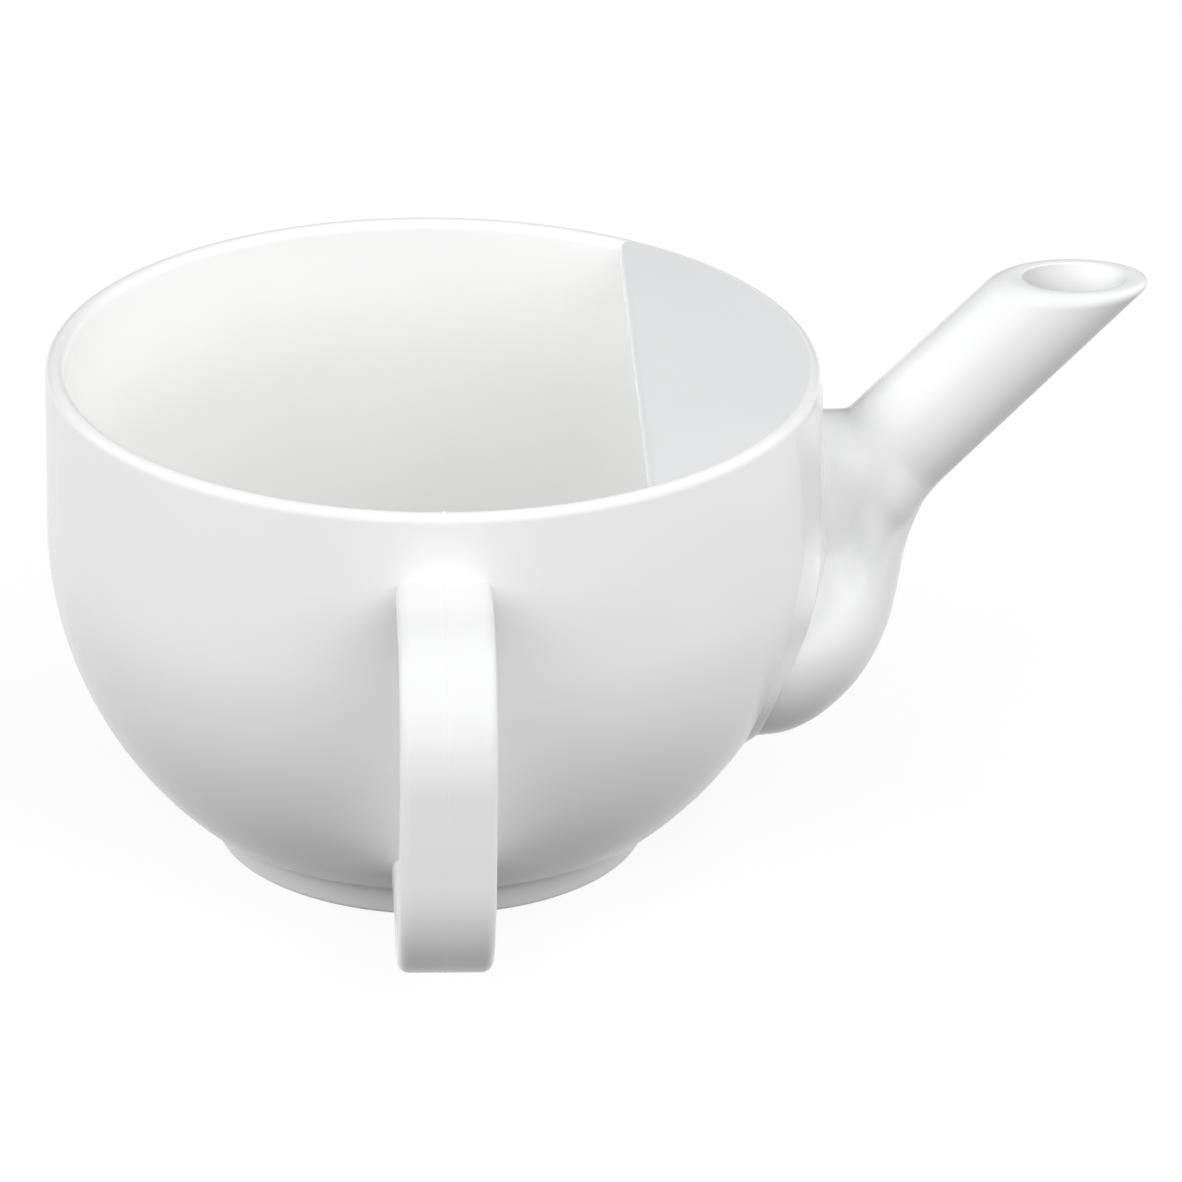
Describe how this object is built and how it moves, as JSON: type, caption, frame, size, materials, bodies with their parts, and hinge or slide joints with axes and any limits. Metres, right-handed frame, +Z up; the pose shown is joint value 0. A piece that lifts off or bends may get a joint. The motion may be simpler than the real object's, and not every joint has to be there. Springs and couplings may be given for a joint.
{
  "type": "invalid feeder",
  "caption": "White spouted feeding cup: round bowl on a foot ring, half cover over the spout side, strap handle, and a low side chamber leading into a slanted drinking tube.",
  "frame": {"origin": "centre of the foot ring, on the surface the cup stands on", "axes": "+Z up along the bowl's axis, +X towards the spout, -Y towards the handle"},
  "size_m": [0.1418, 0.1272, 0.0772],
  "materials": {
    "bowl_white": "glossy white",
    "cover_white": "satin white",
    "handle_white": "glossy white",
    "spout_white": "glossy white"
  },
  "bodies": {
    "root": {"cup_bowl": "bowl_white", "foot_ring": "bowl_white", "half_cover": "cover_white", "handle": "handle_white", "spout_pocket": "spout_white", "spout_tube": "spout_white"}
  },
  "joints": []
}
